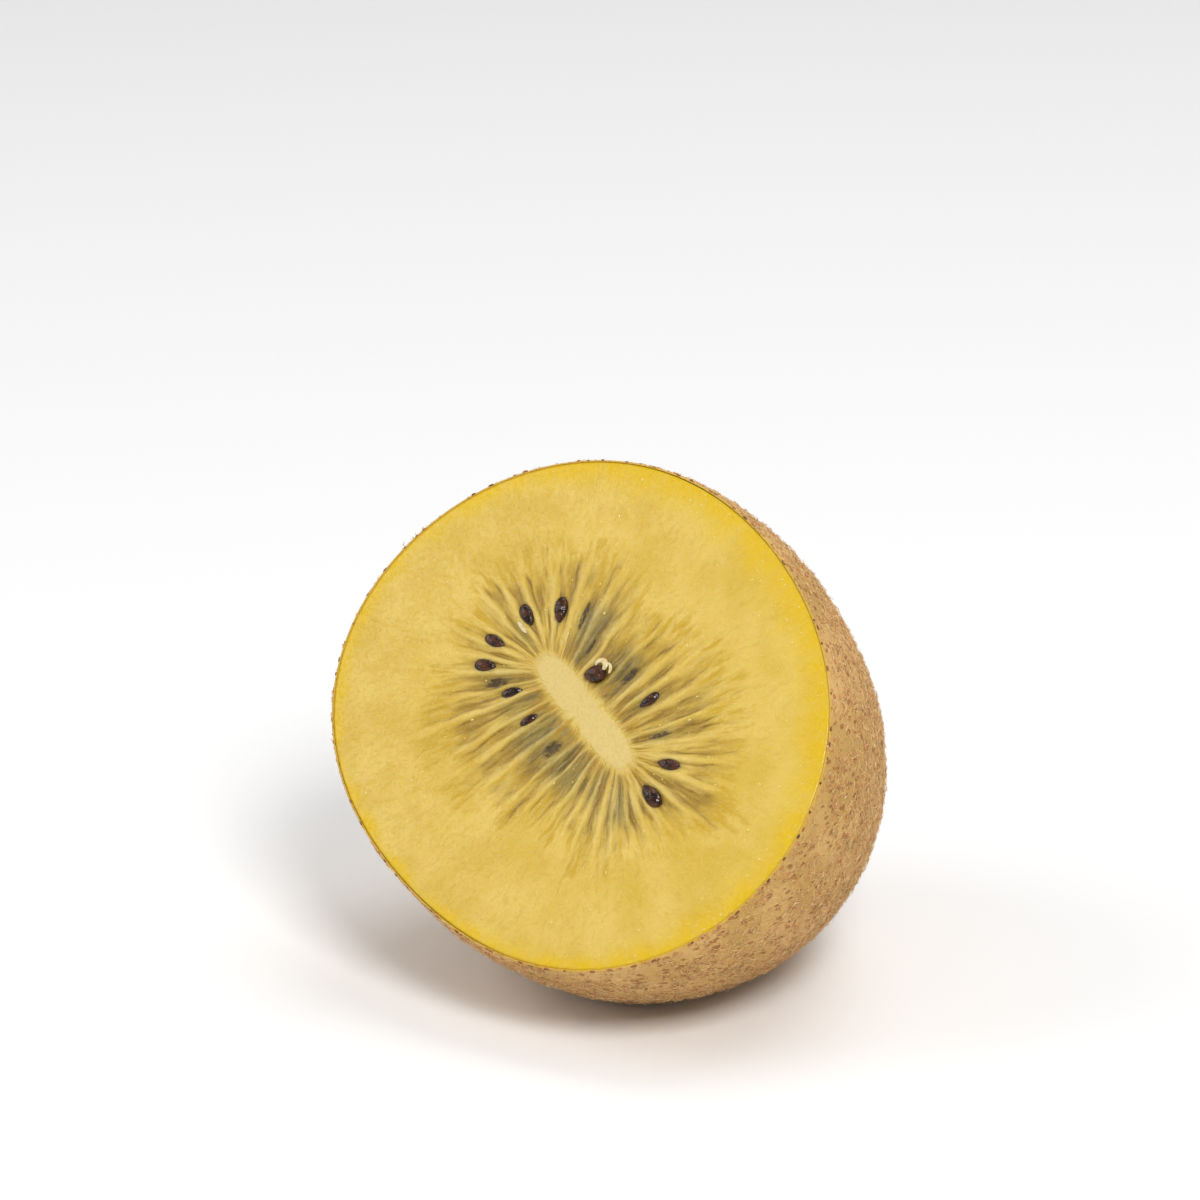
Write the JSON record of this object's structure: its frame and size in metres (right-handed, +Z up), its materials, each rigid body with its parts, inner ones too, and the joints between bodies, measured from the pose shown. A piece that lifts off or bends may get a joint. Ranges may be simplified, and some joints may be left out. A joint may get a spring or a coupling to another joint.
{
  "type": "golden kiwi fruit half",
  "caption": "Half of a golden kiwi fruit lying on its brown skin, with a leaning cut face of yellow flesh, fine rays, dark seeds and a pale oval core, and a stem scar at the far end.",
  "frame": {"origin": "on the surface that the fruit lies on, under the centre of its bounding box", "axes": "+Z up; the cut face leans back, and its normal points along -Y and 38 degrees above level; the stem end points down and along +Y"},
  "size_m": [0.0572, 0.052, 0.0512],
  "materials": {
    "skin": "dry brown skin, matt",
    "flesh": "moist golden flesh, satin",
    "core": "pale cream core, satin"
  },
  "bodies": {
    "root": {"skin": "skin", "flesh_with_seeds": "flesh", "core": "core"}
  },
  "joints": []
}
